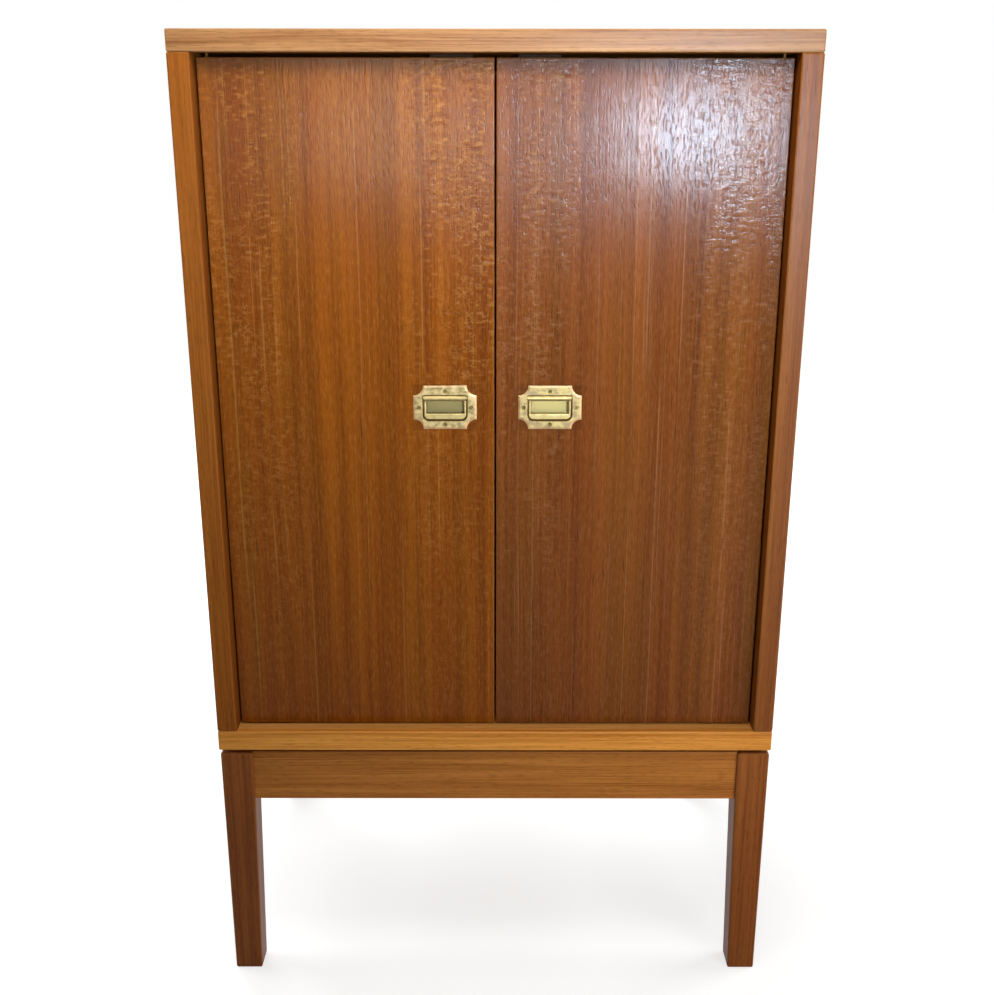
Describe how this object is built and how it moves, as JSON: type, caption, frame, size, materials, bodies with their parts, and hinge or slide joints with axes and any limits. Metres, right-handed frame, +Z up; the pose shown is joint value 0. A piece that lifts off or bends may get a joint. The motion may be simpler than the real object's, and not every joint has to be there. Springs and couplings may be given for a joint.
{
  "type": "bar cabinet",
  "caption": "Upright teak bar cabinet: inset swinging doors with flush brass drop pulls, inner shelves, on an open leg stand with a shadow gap.",
  "frame": {"origin": "on the floor under the middle of the cabinet's width and depth", "axes": "+Z up, the doors face -Y, +X to the viewer's right"},
  "size_m": [0.66, 0.44, 1.116],
  "materials": {
    "case_veneer": "lacquered teak veneer on board",
    "case_lipping": "oiled solid teak edge strip",
    "left_door_veneer": "semi-gloss lacquered teak veneer, orange brown",
    "right_door_veneer": "semi-gloss lacquered teak veneer, darker red brown",
    "stand_teak": "oiled solid teak, dark",
    "beech": "planed beech",
    "back_plywood": "sanded plywood",
    "pull_brass": "aged brass with a dull patina",
    "hinge_brass": "plain drawn brass",
    "steel": "zinc plated steel",
    "catch_plastic": "moulded brown plastic",
    "magnet": "dark ferrite"
  },
  "bodies": {
    "cabinet": {"top_panel": "case_veneer", "bottom_panel": "case_veneer", "left_side": "case_veneer", "right_side": "case_veneer", "upper_shelf": "case_veneer", "lower_shelf": "case_veneer", "top_lipping": "case_lipping", "bottom_lipping": "case_lipping", "left_side_lipping": "case_lipping", "right_side_lipping": "case_lipping", "front_left_leg": "stand_teak", "front_right_leg": "stand_teak", "rear_left_leg": "stand_teak", "rear_right_leg": "stand_teak", "front_rail": "stand_teak", "rear_rail": "stand_teak", "left_rail": "stand_teak", "right_rail": "stand_teak", "left_bearer": "beech", "right_bearer": "beech", "case_dowels": "beech", "back_panel": "back_plywood", "left_upper_fixed_leaf": "hinge_brass", "left_lower_fixed_leaf": "hinge_brass", "right_upper_fixed_leaf": "hinge_brass", "right_lower_fixed_leaf": "hinge_brass", "hinge_pins": "hinge_brass", "hinge_washers": "hinge_brass", "fixed_leaf_screws": "hinge_brass", "shelf_pins": "hinge_brass", "back_panel_screws": "steel", "bearer_screws": "steel", "stand_screws": "steel", "catch_screws": "steel", "left_catch_housing": "catch_plastic", "right_catch_housing": "catch_plastic", "catch_magnets": "magnet"},
    "left_door": {"left_door_panel": "left_door_veneer", "left_upper_door_leaf": "hinge_brass", "left_lower_door_leaf": "hinge_brass", "left_door_leaf_screws": "hinge_brass", "left_keeper": "steel", "left_keeper_screws": "steel", "left_pull_plate": "pull_brass", "left_pull_cup": "pull_brass", "left_bail_pins": "pull_brass", "left_pull_screws": "pull_brass"},
    "right_door": {"right_door_panel": "right_door_veneer", "right_upper_door_leaf": "hinge_brass", "right_lower_door_leaf": "hinge_brass", "right_door_leaf_screws": "hinge_brass", "right_keeper": "steel", "right_keeper_screws": "steel", "right_pull_plate": "pull_brass", "right_pull_cup": "pull_brass", "right_bail_pins": "pull_brass", "right_pull_screws": "pull_brass"},
    "left_bail": {"left_pull_bail": "pull_brass"},
    "right_bail": {"right_pull_bail": "pull_brass"}
  },
  "joints": [
    {"name": "left_door_hinge", "type": "hinge", "parent": "cabinet", "child": "left_door", "pos_m": [-0.295, -0.194, 0.715], "axis": [0, 0, -1], "range_deg": [0, 100]},
    {"name": "right_door_hinge", "type": "hinge", "parent": "cabinet", "child": "right_door", "pos_m": [0.295, -0.194, 0.715], "axis": [0, 0, 1], "range_deg": [0, 100]},
    {"name": "left_bail_pivot", "type": "hinge", "parent": "left_door", "child": "left_bail", "pos_m": [-0.05555, -0.1975, 0.7361], "axis": [-1, 0, 0], "range_deg": [0, 100]},
    {"name": "right_bail_pivot", "type": "hinge", "parent": "right_door", "child": "right_bail", "pos_m": [0.06055, -0.1975, 0.7361], "axis": [-1, 0, 0], "range_deg": [0, 100]}
  ]
}
